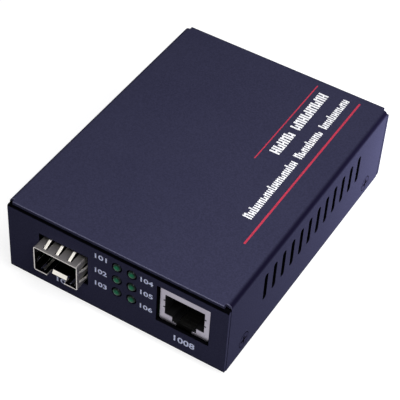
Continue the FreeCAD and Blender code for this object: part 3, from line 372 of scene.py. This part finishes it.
@dataclass(frozen=True)
class PowderCoat:
    """Baked powder paint: an even dark colour with a fine satin grain.

    Some light and shade is painted in by place, whatever the lamps do: painted shade makes the
    bends darker than the flat sheet, a painted highlight makes the cover's front lip lighter, and
    painted shade leaves unlit what lies behind the shell's skin and the edges that lean along a ring
    axis.
    """

    name: str
    colour: Colour
    fleck: Colour
    roughness: Span = (0.30, 0.40)
    grain: float = 0.45 * MM
    fleck_span: Span = (0.36, 0.68)
    drift: float = 28 * MM
    drift_shade: Colour = (0.86, 0.86, 0.90)
    drift_share: float = 0.5
    depth: float = 0.012 * MM
    edge: float = 0.18 * MM
    painted_bend_shade: Colour = (0.006, 0.005, 0.016)
    painted_lip_highlight: Colour = (0.17, 0.17, 0.26)
    side_bend: Span = (0.4 * MM, 1.1)
    front_bend: Span = (0.3 * MM, 0.6)
    lip_bend: Span = (0.45 * MM, 1.6)
    unlit: Colour = (0.002, 0.002, 0.003)
    skin: float = 0.06 * MM
    lip: float = 1.1 * MM
    ring: str = ""
    ring_edge: float = 0.3 * MM
    ring_span: Span = (0.8, 0.99)

    def make(self) -> bpy.types.Material:
        """Returns the paint's material."""
        bench = NodeBench(self.name)
        grain = bench.noise(self.grain, detail=FINE)
        drift = bench.noise(self.drift, detail=SOFT)
        mix = bench.add("ShaderNodeMix")
        mix.data_type, mix.blend_type = "RGBA", "MULTIPLY"
        mix.inputs[0].default_value = self.drift_share
        bench.join(bench.ramp(grain, self.colour, self.fleck, *self.fleck_span), mix.inputs[6])
        bench.join(bench.ramp(drift, self.drift_shade, (1.0, 1.0, 1.0)), mix.inputs[7])
        room = Vector((self.skin, self.skin, self.skin))
        # painted highlight: the bend along the cover's front lip, in a band just below the shell's
        # top, is painted lighter
        lip_low = Vector((SHELL_LOW.x, SHELL_LOW.y, SHELL_HIGH.z - self.lip)) - room
        lip_highlight = bench.combine("MULTIPLY", bench.bend("Y", "Z", -1.0, *self.lip_bend),
                            bench.within(lip_low, SHELL_HIGH + room))
        # painted shade: the bends between the top and the sides, and between the top and the front,
        # are painted darker than the flat sheet
        side_bend_shade = bench.bend("X", "Z", 1.0, *self.side_bend)
        front = bench.bend("Y", "Z", -1.0, *self.front_bend)
        paint = bench.blend(side_bend_shade, mix.outputs[2], self.painted_bend_shade)
        paint = bench.blend(front, paint, self.painted_bend_shade)
        paint = bench.blend(lip_highlight, paint, self.painted_lip_highlight)
        # painted shade: where a ring axis is given, the edges that lean along it, such as round a
        # screw head, are painted unlit
        if self.ring:
            edges = bench.leaning(self.ring, self.ring_edge, *self.ring_span)
            paint = bench.blend(edges, paint, self.unlit)
        # painted shade: all that lies behind the shell's skin, below the front lip's band, is painted
        # unlit
        inner = SHELL_HIGH - room - Vector((0.0, 0.0, self.lip))
        paint = bench.blend(bench.within(SHELL_LOW + room, inner), paint, self.unlit)
        bench.join(paint, bench.shader.inputs["Base Color"])
        bench.join(bench.spread(grain, *self.roughness), bench.shader.inputs["Roughness"])
        bench.set(Specular_IOR_Level=0.0)
        bench.relief(grain, self.depth, edge=self.edge)
        return bench.material


@dataclass(frozen=True)
class PlatedSheet:
    """Plated or bare metal with rolling marks and a faint tarnish.

    Painted shade can darken a hollow and its flat sheet by place, all but a tongue in it, which
    keeps its lit colour. Each is a box, by its corners in millimetres from the middle of the case's
    underside.
    """

    name: str
    colour: Colour
    tarnish: Colour
    roughness: Span = (0.22, 0.38)
    grain: Grain = Grain.NONE
    edge: float = 0.08 * MM
    metal: float = 1.0
    hollow: tuple[Point, Point] | None = None
    tongue: tuple[Point, Point] | None = None
    painted_hollow_shade: Colour = (0.010, 0.010, 0.012)
    sheet: tuple[Point, Point] | None = None
    painted_sheet_shade: Colour = (0.52, 0.49, 0.48)
    mark: float = 0.35 * MM
    cloud: float = 5 * MM
    depth: float = 0.005 * MM

    def make(self) -> bpy.types.Material:
        """Returns the metal's material."""
        bench = NodeBench(self.name)
        marks = bench.noise(self.mark, detail=FINE, stretch=self.grain.value)
        sheen = bench.ramp(bench.noise(self.cloud), self.tarnish, self.colour)
        # painted shade: the flat sheet and the hollow are painted darker by place, all but the tongue,
        # which keeps its lit colour
        if self.hollow:
            lip = self.region(bench, self.tongue)
            for box, shade in ((self.sheet, self.painted_sheet_shade), (self.hollow, self.painted_hollow_shade)):
                share = bench.combine("SUBTRACT", self.region(bench, box), lip, clamp=True)
                sheen = bench.blend(share, sheen, shade)
        bench.join(sheen, bench.shader.inputs["Base Color"])
        bench.join(bench.spread(marks, *self.roughness), bench.shader.inputs["Roughness"])
        bench.set(Metallic=self.metal)
        bench.relief(marks, self.depth, edge=self.edge)
        return bench.material

    @staticmethod
    def region(bench: NodeBench, box: tuple[Point, Point]) -> bpy.types.NodeSocket:
        """Tells a box of the sheet from the rest.

        Args:
            bench: The material's bench.
            box: The box's corners, in millimetres from the middle of the case's underside.

        Returns:
            A socket that is 1 inside the box.
        """
        return bench.within(*(UNDERSIDE + Vector(corner) * MM for corner in box))


@dataclass(frozen=True)
class Moulding:
    """Moulded plastic, epoxy or rubber with a fine spark-eroded texture."""

    name: str
    colour: Colour
    shade: Colour
    roughness: Span = (0.45, 0.6)
    texture: float = 0.3 * MM
    depth: float = 0.008 * MM
    gloss: float = 0.4
    cloud: float = 6 * MM
    edge: float = 0.1 * MM

    def make(self) -> bpy.types.Material:
        """Returns the plastic's material."""
        bench = NodeBench(self.name)
        texture = bench.noise(self.texture)
        cloud = bench.noise(self.cloud, detail=SOFT)
        bench.join(bench.ramp(cloud, self.shade, self.colour), bench.shader.inputs["Base Color"])
        bench.join(bench.spread(texture, *self.roughness), bench.shader.inputs["Roughness"])
        bench.set(Specular_IOR_Level=self.gloss)
        bench.relief(texture, self.depth, edge=self.edge)
        return bench.material


@dataclass(frozen=True)
class BoardLaminate:
    """Green solder mask over copper tracks, with painted shade that makes it black where the jack
    covers it.
    """

    name: str
    mask: Colour
    track: Colour
    jack_shade: Colour = (0.004, 0.004, 0.004)
    shaded_under_part: str = "rj45_shield"
    pitch: float = 2.1 * MM
    track_width: float = 0.09
    track_edge: float = 0.1
    lane_length: float = 3.4
    lane_width: float = 0.6
    mask_shade: float = 0.8
    roughness: Span = (0.34, 0.46)
    gloss: float = 0.5
    cloud: float = 9 * MM
    depth: float = 0.03 * MM
    edge: float = 0.08 * MM

    def make(self) -> bpy.types.Material:
        """Returns the laminate's material."""
        bench = NodeBench(self.name)
        lanes = bench.add("ShaderNodeTexBrick", Scale=1 / self.pitch, Mortar_Size=self.track_width,
                          Mortar_Smooth=self.track_edge, Brick_Width=self.lane_length,
                          Row_Height=self.lane_width)
        bench.join(bench.place(), lanes.inputs["Vector"])
        cloud = bench.noise(self.cloud)
        mask = bench.ramp(cloud, tuple(c * self.mask_shade for c in self.mask), self.mask)
        # painted shade: the board is painted black where the jack covers it
        low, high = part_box(self.shaded_under_part)
        board_low, board_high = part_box("circuit_board")
        jack_shade_mask = bench.within(Vector((low.x, board_low.y - MM, board_low.z)),
                              Vector((high.x, high.y, board_high.z + MM)))
        tracks = bench.blend(lanes.outputs["Fac"], mask, self.track)
        bench.join(bench.blend(jack_shade_mask, tracks, self.jack_shade), bench.shader.inputs["Base Color"])
        bench.join(bench.spread(cloud, *self.roughness), bench.shader.inputs["Roughness"])
        bench.set(Specular_IOR_Level=self.gloss)
        bench.relief(lanes.outputs["Fac"], self.depth, edge=self.edge)
        return bench.material


@dataclass(frozen=True)
class TintedLens:
    """Unlit tinted epoxy of an indicator, with painted shade that darkens its dome where it turns away
    from the front.
    """

    name: str
    colour: Colour
    rim_shade: Colour
    dome_span: Span = (0.66, 1.0)
    roughness: Span = (0.10, 0.16)
    gloss: float = 0.12
    cloud: float = 0.8 * MM
    depth: float = 0.004 * MM

    def make(self) -> bpy.types.Material:
        """Returns the epoxy's material."""
        bench = NodeBench(self.name)
        cloud = bench.noise(self.cloud, detail=SOFT)
        # painted shade: the dome is painted darker as its normal turns away from the front
        surface = bench.add("ShaderNodeNewGeometry")
        outward = bench.add("ShaderNodeVectorMath")
        outward.operation = "DOT_PRODUCT"
        outward.inputs[1].default_value = (0.0, -1.0, 0.0)
        bench.join(surface.outputs["Normal"], outward.inputs[0])
        dome_shade = bench.ramp(outward.outputs["Value"], self.rim_shade, self.colour, *self.dome_span)
        bench.join(dome_shade, bench.shader.inputs["Base Color"])
        bench.join(bench.spread(cloud, *self.roughness), bench.shader.inputs["Roughness"])
        bench.set(Specular_IOR_Level=self.gloss)
        bench.relief(cloud, self.depth)
        return bench.material


@dataclass(frozen=True)
class ScreenInk:
    """Screen-printed ink, slightly uneven in its cover."""

    name: str
    colour: Colour
    thin: Colour
    grain: float = 0.5 * MM
    cover_span: Span = (0.25, 0.55)
    roughness: Span = (0.5, 0.65)
    gloss: float = 0.3
    depth: float = 0.006 * MM

    def make(self) -> bpy.types.Material:
        """Returns the ink's material."""
        bench = NodeBench(self.name)
        cover = bench.noise(self.grain, detail=FINE)
        shade = bench.ramp(cover, self.thin, self.colour, *self.cover_span)
        bench.join(shade, bench.shader.inputs["Base Color"])
        bench.join(bench.spread(cover, *self.roughness), bench.shader.inputs["Roughness"])
        bench.set(Specular_IOR_Level=self.gloss)
        bench.relief(cover, self.depth)
        return bench.material


FINISHES: dict[str, Finish] = {
    "case_paint": PowderCoat("case_powder_coat", ink_value(50, 50, 71), ink_value(57, 57, 80)),
    # the screw's ring axis gets painted shade on the edges of its head
    "screw_black": PowderCoat("blacked_screw", ink_value(46, 45, 66), ink_value(54, 53, 76),
                              skin=0.12 * MM, ring="X"),
    "foot_rubber": Moulding("foot_rubber", (0.022, 0.022, 0.023), (0.012, 0.012, 0.012),
                            (0.7, 0.85), gloss=0.25),
    "bright_steel": PlatedSheet("bright_steel", (0.62, 0.61, 0.60), (0.48, 0.47, 0.46), (0.2, 0.34)),
    "board_green": BoardLaminate("board_laminate", (0.006, 0.062, 0.024), (0.014, 0.12, 0.042)),
    # painted shade darkens the cage's hollow and its sheet, all but its tongue
    "cage_tin": PlatedSheet("cage_tin_plate", (0.88, 0.84, 0.77), (0.72, 0.69, 0.64),
                            (0.28, 0.38), Grain.ALONG, metal=0.94,
                            hollow=((-24.0, -50.75, 9.6), (-9.8, 0.0, 18.4)),
                            tongue=((-20.0, -51.0, 9.0), (-13.8, -48.6, 10.6)),
                            sheet=((-24.22, -51.2, 9.2), (-9.58, 0.0, 18.62))),
    "moulded_black": Moulding("moulded_black", (0.010, 0.010, 0.011), (0.006, 0.006, 0.007),
                              gloss=0.12),
    "contact_gold": PlatedSheet("contact_gold", (0.90, 0.62, 0.22), (0.72, 0.46, 0.14), (0.15, 0.28)),
    "shield_nickel": PlatedSheet("shield_nickel", (0.34, 0.32, 0.37), (0.28, 0.26, 0.31),
                                 (0.24, 0.4), Grain.ACROSS),
    "light_green": TintedLens("lens_green", ink_value(0, 108, 72), ink_value(0, 18, 14)),
    "lead_tin": PlatedSheet("lead_tin", (0.70, 0.70, 0.70), (0.55, 0.55, 0.56),
                            (0.25, 0.4), Grain.ALONG),
    "chip_black": Moulding("chip_epoxy", (0.018, 0.018, 0.019), (0.010, 0.010, 0.011),
                           (0.55, 0.7), 0.15 * MM),
    "plain_aluminium": PlatedSheet("plain_aluminium", (0.72, 0.73, 0.74), (0.58, 0.59, 0.60),
                                   (0.3, 0.45)),
    "core_grey": Moulding("core_grey", (0.08, 0.08, 0.085), (0.05, 0.05, 0.052), (0.6, 0.75)),
}

PRINT_WHITE = ScreenInk("print_white", ink_value(250, 250, 253), ink_value(226, 228, 238))
PRINT_PALE = ScreenInk("print_pale_blue", ink_value(222, 228, 255), ink_value(198, 206, 252))
PRINT_RED = ScreenInk("print_red", ink_value(184, 46, 72), ink_value(150, 34, 58))


class Workshop:
    """Turns outlines and profiles into objects in the row frame."""

    def __init__(self) -> None:
        """Starts with no finishes made."""
        self.made: dict[str, bpy.types.Material] = {}

    def finish(self, finish: Finish) -> bpy.types.Material:
        """Makes a finish's material once.

        Args:
            finish: The finish.

        Returns:
            The material.
        """
        if finish.name not in self.made:
            self.made[finish.name] = finish.make()
        return self.made[finish.name]

    def object(self, name: str, mesh: bpy.types.Mesh, finish: Finish,
               smooth: float = 0.0) -> bpy.types.Object:
        """Puts a mesh in the scene as a piece that rides on the part.

        Args:
            name: The piece's name.
            mesh: Its mesh, in the row frame.
            finish: Its finish.
            smooth: Angle in degrees under which edges look smooth, or 0 for none.

        Returns:
            The piece.
        """
        piece = bpy.data.objects.new(name, mesh)
        bpy.context.scene.collection.objects.link(piece)
        mesh.materials.append(self.finish(finish))
        if smooth:
            mesh.shade_smooth()
            mesh.set_sharp_from_angle(angle=math.radians(smooth))
        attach(piece, BODY)
        log.info("built %s: %d faces", name, len(mesh.polygons))
        return piece

    def turned(self, name: str, profile: list[Flat], middle: Point, sides: int = 40) -> bpy.types.Mesh:
        """Turns a profile about a line along Y.

        Args:
            name: The mesh's name.
            profile: (radius, distance behind the middle point) pairs from the tip to the back.
            middle: The point on the axis where the distance is 0.
            sides: Sides around the turn.

        Returns:
            The mesh.
        """
        made = bmesh.new()
        rings: list[list[bmesh.types.BMVert]] = []
        for radius, back in profile:
            turns = 1 if radius == 0 else sides
            rings.append([made.verts.new((
                middle[0] + radius * math.cos(math.tau * step / sides),
                middle[1] + back,
                middle[2] + radius * math.sin(math.tau * step / sides))) for step in range(turns)])
        for near, far in zip(rings, rings[1:]):
            for step in range(sides):
                following = (step + 1) % sides
                corners = [near[step % len(near)], near[following % len(near)],
                           far[following % len(far)], far[step % len(far)]]
                distinct = list(dict.fromkeys(corners))
                if len(distinct) > 2:
                    made.faces.new(distinct)
        bmesh.ops.recalc_face_normals(made, faces=made.faces)
        mesh = bpy.data.meshes.new(name)
        made.to_mesh(mesh)
        made.free()
        return mesh

    def blocks(self, name: str, boxes: list[tuple[Flat, Flat]], facing: Facing, level: float,
               film: float, corner: float) -> bpy.types.Mesh:
        """Lays thin blocks with cut corners on a panel.

        Args:
            name: The mesh's name.
            boxes: Each block's low and high corners on the panel.
            facing: The panel.
            level: The panel's place along its normal.
            film: How far the ink stands proud.
            corner: Size of the cut corners.

        Returns:
            The mesh.
        """
        made = bmesh.new()
        for (left, low), (right, high) in boxes:
            cut = min(corner, (right - left) / 3, (high - low) / 3)
            outline = [(left + cut, low), (right - cut, low), (right, low + cut), (right, high - cut),
                       (right - cut, high), (left + cut, high), (left, high - cut), (left, low + cut)]
            top = [made.verts.new(self.on_panel(point, facing, level, film)) for point in outline]
            foot = [made.verts.new(self.on_panel(point, facing, level, 0.0)) for point in outline]
            made.faces.new(top)
            for step in range(len(outline)):
                following = (step + 1) % len(outline)
                made.faces.new((foot[step], foot[following], top[following], top[step]))
        bmesh.ops.recalc_face_normals(made, faces=made.faces)
        mesh = bpy.data.meshes.new(name)
        made.to_mesh(mesh)
        made.free()
        return mesh

    @staticmethod
    def on_panel(point: Flat, facing: Facing, level: float, proud: float) -> Point:
        """Places a panel point in the row frame.

        Args:
            point: The point on the panel, from the middle of the case's underside: x and y on
                the top, x and z on the front.
            facing: The panel.
            level: The panel's place along its normal.
            proud: Height off the panel.

        Returns:
            The point.
        """
        if facing is Facing.TOP:
            return point[0], point[1] + UNDERSIDE.y, level + proud
        return point[0], level - proud, point[1] + UNDERSIDE.z


@dataclass
class Lens:
    """One indicator's lens: a polished dome, a straight barrel and a flange behind."""

    number: int
    radius: float = 1.5 * MM
    flange_length: float = 1.0 * MM
    rings: int = 9
    smooth: float = 35.0

    def profile(self, flange: float, length: float) -> list[Flat]:
        """Gives the lens's turned profile.

        Args:
            flange: Flange radius.
            length: Length from the tip to the back.

        Returns:
            Radius and distance pairs.
        """
        dome = [(self.radius * math.sin(turn), self.radius * (1 - math.cos(turn)))
                for turn in (math.pi / 2 * ring / self.rings for ring in range(1, self.rings + 1))]
        start = length - self.flange_length
        return [(0.0, 0.0), *dome, (self.radius, start),
                (flange, start), (flange, length), (0.0, length)]

    def build(self, shop: Workshop) -> None:
        """Builds the lens in place of its plain solid.

        Args:
            shop: The workshop.
        """
        node = f"status_light_{self.number}"
        low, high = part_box(node)
        middle = ((low.x + high.x) / 2, low.y, (low.z + high.z) / 2)
        profile = self.profile((high.x - low.x) / 2, high.y - low.y)
        mesh = shop.turned(f"lens_{self.number}", profile, middle)
        slot = "light_green"
        piece = shop.object(f"lens_{self.number}", mesh, FINISHES[slot], smooth=self.smooth)
        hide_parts(node)


@dataclass
class RedRule:
    """A printed red line along the case's top."""

    name: str
    across: float
    front: float
    rear: float
    width: float
    film: float = FILM

    def build(self, shop: Workshop) -> None:
        """Prints the line.

        Args:
            shop: The workshop.
        """
        half = self.width / 2
        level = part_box("top_cover")[1].z
        line = ((self.across - half, self.front), (self.across + half, self.rear))
        mesh = shop.blocks(self.name, [line], Facing.TOP, level, self.film, self.width / 4)
        shop.object(self.name, mesh, PRINT_RED)


@dataclass
class BlockRow:
    """A row of plain print blocks on the top, grouped as words would be."""

    name: str
    across: float
    front: float
    rear: float
    height: float
    words: tuple[int, ...]
    solid: float
    film: float = FILM
    small: float = 0.72
    bars: tuple[float, ...] = (0.15, 0.5, 0.9, 0.3, 0.9, 0.5)
    low_bar: float = 0.2
    high_bar: float = 0.4
    short_post: float = 0.7
    post_width: float = 0.36
    bar_width: float = 0.16
    corner: float = 0.08 * MM

    def cells(self) -> list[tuple[Flat, Flat]]:
        """Returns the low and high corners of the strokes: two posts and a bar in each block."""
        places = sum(self.words) + len(self.words) - 1
        pitch = (self.rear - self.front) / places
        wide = pitch * self.solid
        post = wide * self.post_width
        foot = self.across + self.height / 2
        boxes: list[tuple[Flat, Flat]] = []
        start = self.front
        for blocks in self.words:
            for block in range(blocks):
                bar = self.bars[(block + blocks) % len(self.bars)]
                near = start + block * pitch
                full = block == 0 or bar < self.low_bar
                tall = self.height if full else self.height * self.small
                second = tall if bar > self.high_bar else tall * self.short_post
                level, inner = foot - tall * bar, near + wide - post
                boxes += [((foot - tall, near), (foot, near + post)),
                          ((foot - second, inner), (foot, near + wide)),
                          ((level, near + post), (level + self.height * self.bar_width, inner))]
            start += (blocks + 1) * pitch
        return boxes

    def build(self, shop: Workshop) -> None:
        """Prints the row.

        Args:
            shop: The workshop.
        """
        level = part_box("top_cover")[1].z
        mesh = shop.blocks(self.name, self.cells(), Facing.TOP, level, self.film, self.corner)
        shop.object(self.name, mesh, PRINT_WHITE)


@dataclass
class PanelNumber:
    """A plain number printed on the front panel."""

    name: str
    words: str
    left: float
    right: float
    middle: float
    height: float
    film: float = FILM
    weight: float = 0.022
    fineness: int = 3

    def build(self, shop: Workshop) -> None:
        """Prints the number, fitted between its left and right edges.

        Args:
            shop: The workshop.
        """
        curve = bpy.data.curves.new(self.name, "FONT")
        curve.body = self.words
        curve.extrude = 0.5     # any thickness, since the film sets it below
        curve.offset, curve.resolution_u = self.weight, self.fineness
        writing = bpy.data.objects.new(self.name + "_writing", curve)
        bpy.context.scene.collection.objects.link(writing)
        bpy.context.view_layer.update()
        solved = writing.evaluated_get(bpy.context.evaluated_depsgraph_get())
        mesh = bpy.data.meshes.new_from_object(solved)
        bpy.data.objects.remove(writing)
        low = Vector([min(v.co[axis] for v in mesh.vertices) for axis in range(3)])
        size = Vector([max(v.co[axis] for v in mesh.vertices) for axis in range(3)]) - low
        wide, tall = self.right - self.left, self.height
        for vertex in mesh.vertices:
            share = [(vertex.co[axis] - low[axis]) / size[axis] for axis in range(3)]
            spot = (self.left + share[0] * wide, self.middle + (share[1] - 0.5) * tall)
            vertex.co = Workshop.on_panel(spot, Facing.FRONT, CASE_LOW.y, share[2] * self.film)
        mesh.name = self.name
        mesh.materials.clear()
        shop.object(self.name, mesh, PRINT_PALE)


@dataclass
class Assembly:
    """The carried-over nodes, each in the finish of its record slot."""

    record: dict = field(default_factory=lambda: frame["record"])

    def dress(self, shop: Workshop) -> None:
        """Gives every node its finish.

        Args:
            shop: The workshop.
        """
        slots = {part["node"]: part["material_slot"] for part in self.record["subparts"]}
        for name, node in sorted(frame["nodes"].items()):
            finish = FINISHES[slots[name]]
            for place in node.material_slots:
                place.link = "OBJECT"
                place.material = shop.finish(finish)
            log.info("dressed %s in %s", name, finish.name)


@dataclass(frozen=True)
class Lamp:
    """A soft square lamp that faces the case, by its place in metres and power in watts."""

    name: str
    place: Point
    size: float
    power: float

    def build(self) -> None:
        """Hangs the lamp."""
        light = bpy.data.lights.new(self.name, "AREA")
        light.shape, light.size, light.energy = "SQUARE", self.size, self.power
        lamp = bpy.data.objects.new(self.name, light)
        lamp.location = self.place
        lamp.rotation_euler = Vector(self.place).to_track_quat("Z", "Y").to_euler()
        bpy.context.scene.collection.objects.link(lamp)


@dataclass
class Studio:
    """A pale sweep, soft lamps and the camera.

    The camera's place, lens and sensor are in millimetres, its place from the middle of the
    case's underside. Its angles are in degrees: it heads to the left of straight back, tilts
    down and rolls to its left. Its near and far limits are in metres, as the floor's size is.
    """

    place: Point = (140.9, -259.5, 303.3)
    heading: float = 28.684
    tilt: float = 45.023
    roll: float = 3.9
    lens: float = 127.32
    sensor: float = 36.0
    near: float = 0.01
    far: float = 20.0
    floor_size: float = 6.0
    floor_colour: Colour = (0.30, 0.30, 0.31)
    floor_roughness: float = 0.9
    floor_gloss: float = 0.1
    floor_glow: float = 0.84
    light_level: float = 0.08
    lamps: tuple[Lamp, ...] = (Lamp("key_lamp", (0.11, -0.06, 0.25), size=0.2, power=0.84),
                               Lamp("side_lamp", (0.095, 0.11, 0.022), size=0.03, power=0.29),
                               Lamp("front_lamp", (-0.14, -0.60, 0.30), size=0.12, power=0.40))

    def build(self) -> None:
        """Builds the floor, the lamps, the world and the camera."""
        self.floor()
        for lamp in self.lamps:
            lamp.build()
        self.world()
        self.camera()

    def floor(self) -> None:
        """Lays the pale floor under the feet."""
        level = CAD_BOX[0][2]
        half = self.floor_size / 2
        mesh = bpy.data.meshes.new("floor")
        mesh.from_pydata([(-half, -half, level), (half, -half, level), (half, half, level),
                          (-half, half, level)], [], [(0, 1, 2, 3)])
        floor = bpy.data.objects.new("floor", mesh)
        bpy.context.scene.collection.objects.link(floor)
        bench = NodeBench("pale_floor")
        bench.set(Base_Color=(*self.floor_colour, 1.0), Roughness=self.floor_roughness,
                  Specular_IOR_Level=self.floor_gloss)
        glow = bench.add("ShaderNodeEmission", Strength=self.floor_glow)
        both = bench.add("ShaderNodeAddShader")
        pick = bench.add("ShaderNodeMixShader")
        output = bench.tree.nodes["Material Output"]
        bench.join(bench.shader.outputs["BSDF"], both.inputs[0])
        bench.join(glow.outputs["Emission"], both.inputs[1])
        bench.join(self.seen(bench.tree), pick.inputs["Fac"])
        bench.join(bench.shader.outputs["BSDF"], pick.inputs[1])
        bench.join(both.outputs["Shader"], pick.inputs[2])
        bench.join(pick.outputs["Shader"], output.inputs["Surface"])
        mesh.materials.append(bench.material)

    def seen(self, tree: bpy.types.NodeTree) -> bpy.types.NodeSocket:
        """Tells what is looked at, also in metal and through plastic, from what only lights.

        Args:
            tree: The node tree.

        Returns:
            A socket that is 1 for a look and 0 for light.
        """
        path = tree.nodes.new("ShaderNodeLightPath")
        either: bpy.types.NodeSocket = path.outputs["Is Camera Ray"]
        for name in ("Is Glossy Ray", "Is Transmission Ray"):
            largest = tree.nodes.new("ShaderNodeMath")
            largest.operation = "MAXIMUM"
            tree.links.new(either, largest.inputs[0])
            tree.links.new(path.outputs[name], largest.inputs[1])
            either = largest.outputs[0]
        return either

    def world(self) -> None:
        """Sets a white backdrop for what looks at it, and a plain level for what it lights."""
        world = bpy.data.worlds.new("studio")
        world.use_nodes = True
        tree = world.node_tree
        sky = tree.nodes["Background"]
        sky.inputs["Color"].default_value = (1.0, 1.0, 1.0, 1.0)
        level = tree.nodes.new("ShaderNodeMapRange")
        level.inputs["To Min"].default_value = self.light_level
        level.inputs["To Max"].default_value = 1.0
        tree.links.new(self.seen(tree), level.inputs["Value"])
        tree.links.new(level.outputs["Result"], sky.inputs["Strength"])
        bpy.context.scene.world = world

    def camera(self) -> None:
        """Sets the camera."""
        data = bpy.data.cameras.new("camera")
        data.lens, data.sensor_width = self.lens, self.sensor
        data.clip_start, data.clip_end = self.near, self.far
        camera = bpy.data.objects.new("camera", data)
        turn = (Matrix.Rotation(math.radians(self.heading), 4, "Z")
                @ Matrix.Rotation(math.radians(90 - self.tilt), 4, "X")
                @ Matrix.Rotation(math.radians(self.roll), 4, "Z"))
        place = UNDERSIDE + Vector(self.place) * MM
        camera.matrix_world = Matrix.Translation(place) @ turn
        bpy.context.scene.collection.objects.link(camera)
        bpy.context.scene.camera = camera


def corners(box: tuple) -> list[list[float]]:
    """Returns a box's two corners as plain lists."""
    return [[float(value) for value in corner] for corner in box]


def red_rules() -> list[RedRule]:
    """Returns the two lines on the top."""
    return [RedRule("rule_fine", across=12.5 * MM, front=5.8 * MM, rear=44.3 * MM, width=0.38 * MM),
            RedRule("rule_broad", across=26.9 * MM, front=-24.8 * MM, rear=44.0 * MM,
                    width=0.62 * MM)]


def block_rows() -> list[BlockRow]:
    """Returns the two rows of strokes on the top."""
    return [BlockRow("block_row_short", across=16.0 * MM, front=11.0 * MM, rear=42.0 * MM,
                     height=3.3 * MM, words=(5, 9), solid=0.86, small=1.0),
            BlockRow("block_row_long", across=22.5 * MM, front=-15.9 * MM, rear=43.5 * MM,
                     height=2.9 * MM, words=(16, 8, 9), solid=0.8)]


def panel_numbers() -> list[PanelNumber]:
    """Returns the numbers beside the lights, then those under the jack and the cage."""
    columns = ((-6.4, -2.5, (22.3, 16.65, 11.4)), (8.3, 12.3, (21.9, 16.8, 11.3)))
    spots = [(left, right, middle) for left, right, middles in columns for middle in middles]
    beside = [PanelNumber(f"number_{place}", str(100 + place), left=left * MM,
                          right=right * MM, middle=middle * MM, height=1.8 * MM)
              for place, (left, right, middle) in enumerate(spots, 1)]
    return beside + [
        PanelNumber("number_jack", "1008", left=19.4 * MM, right=26.0 * MM, middle=5.05 * MM,
                    height=2.3 * MM),
        PanelNumber("number_cage", "107", left=-19.4 * MM, right=-14.2 * MM, middle=4.8 * MM,
                    height=1.9 * MM)]


def main() -> None:
    """Builds the pieces in order."""
    logging.basicConfig(level=logging.INFO, format="%(message)s")
    bpy.context.scene.view_settings.view_transform = "Standard"
    shop = Workshop()
    Assembly().dress(shop)
    for number in range(1, LIGHTS + 1):
        Lens(number).build(shop)
    for print_piece in red_rules() + block_rows() + panel_numbers():
        print_piece.build(shop)
    Studio().build()


if __name__ == "__main__":
    main()
